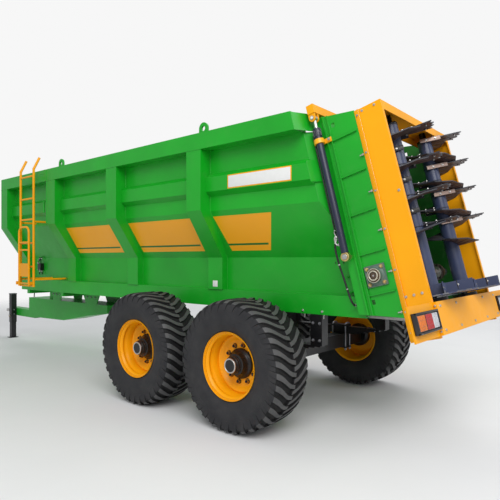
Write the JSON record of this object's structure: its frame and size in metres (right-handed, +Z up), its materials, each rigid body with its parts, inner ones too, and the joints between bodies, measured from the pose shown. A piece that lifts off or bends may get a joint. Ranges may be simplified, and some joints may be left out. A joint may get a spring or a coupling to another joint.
{
  "type": "manure spreader",
  "caption": "Towed manure spreader with a V-shaped hopper, tandem axle, floor chain, guillotine door, upright beaters and a folding ladder.",
  "frame": {"origin": "middle of the machine's length and width, on the ground it stands on", "axes": "+X forward to the hitch eye, +Y to the left side, +Z up"},
  "size_m": [9.136, 2.7, 2.9932],
  "materials": {
    "green_paint": "gloss",
    "orange_paint": "gloss",
    "black_paint": "satin",
    "navy_paint": "satin",
    "bare_steel": "worn",
    "chain_steel": "worn",
    "tyre": "matte",
    "hose_rubber": "matte",
    "lamp_lens": "gloss"
  },
  "bodies": {
    "root": {"hopper_left": "green_paint", "hopper_right": "green_paint", "hopper_front": "green_paint", "hopper_floor": "green_paint", "posts_left": "green_paint", "posts_right": "green_paint", "top_rail_left": "green_paint", "top_rail_right": "green_paint", "chassis_rails": "green_paint", "cross_members": "green_paint", "rear_wings": "green_paint", "rear_frame": "green_paint", "beater_housing": "orange_paint", "lamp_board": "orange_paint", "rear_lamps": "lamp_lens", "beater_drive": "black_paint", "floor_chain": "chain_steel", "chain_shafts": "bare_steel", "shaft_bearings": "green_paint", "axle_front": "black_paint", "axle_rear": "black_paint", "leaf_springs": "black_paint", "spring_hangers": "black_paint", "drawbar": "green_paint", "hitch_eye": "bare_steel", "jack_tube": "black_paint", "ladder": "orange_paint", "door_cylinders": "navy_paint", "hydraulic_hoses": "hose_rubber", "drive_shaft": "bare_steel", "side_valve": "black_paint"},
    "wheel_front_left": {"tyre_front_left": "tyre", "rim_front_left": "orange_paint"},
    "wheel_front_right": {"tyre_front_right": "tyre", "rim_front_right": "orange_paint"},
    "wheel_rear_left": {"tyre_rear_left": "tyre", "rim_rear_left": "orange_paint"},
    "wheel_rear_right": {"tyre_rear_right": "tyre", "rim_rear_right": "orange_paint"},
    "beater_left": {"beater_left": "navy_paint"},
    "beater_right": {"beater_right": "navy_paint"},
    "door": {"door_panel": "green_paint", "door_rods": "bare_steel"},
    "jack_leg": {"jack_leg": "black_paint"},
    "ladder_step": {"ladder_step": "orange_paint"}
  },
  "joints": [
    {"name": "wheel_front_left_spin", "type": "hinge", "parent": "root", "child": "wheel_front_left", "pos_m": [-1.43295, 1.118, 0.588], "axis": [0, 1, 0], "continuous": true},
    {"name": "wheel_front_right_spin", "type": "hinge", "parent": "root", "child": "wheel_front_right", "pos_m": [-1.43295, -1.118, 0.588], "axis": [0, 1, 0], "continuous": true},
    {"name": "wheel_rear_left_spin", "type": "hinge", "parent": "root", "child": "wheel_rear_left", "pos_m": [-2.76395, 1.118, 0.588], "axis": [0, 1, 0], "continuous": true},
    {"name": "wheel_rear_right_spin", "type": "hinge", "parent": "root", "child": "wheel_rear_right", "pos_m": [-2.76395, -1.118, 0.588], "axis": [0, 1, 0], "continuous": true},
    {"name": "beater_left_spin", "type": "hinge", "parent": "root", "child": "beater_left", "pos_m": [-4.15959, 0.4, 1.48202], "axis": [0.2504, 0, 0.9681], "continuous": true},
    {"name": "beater_right_spin", "type": "hinge", "parent": "root", "child": "beater_right", "pos_m": [-4.15959, -0.4, 1.48202], "axis": [0.2504, 0, 0.9681], "continuous": true},
    {"name": "door_lift", "type": "slide", "parent": "root", "child": "door", "axis": [0.2504, 0, 0.9681], "range_m": [0, 0.95]},
    {"name": "jack_slide", "type": "slide", "parent": "root", "child": "jack_leg", "axis": [0, 0, 1], "range_m": [0, 0.28]},
    {"name": "ladder_step_fold", "type": "hinge", "parent": "root", "child": "ladder_step", "pos_m": [1.19205, 1.166, 1.18], "axis": [-1, 0, 0], "range_deg": [0, 180]}
  ]
}
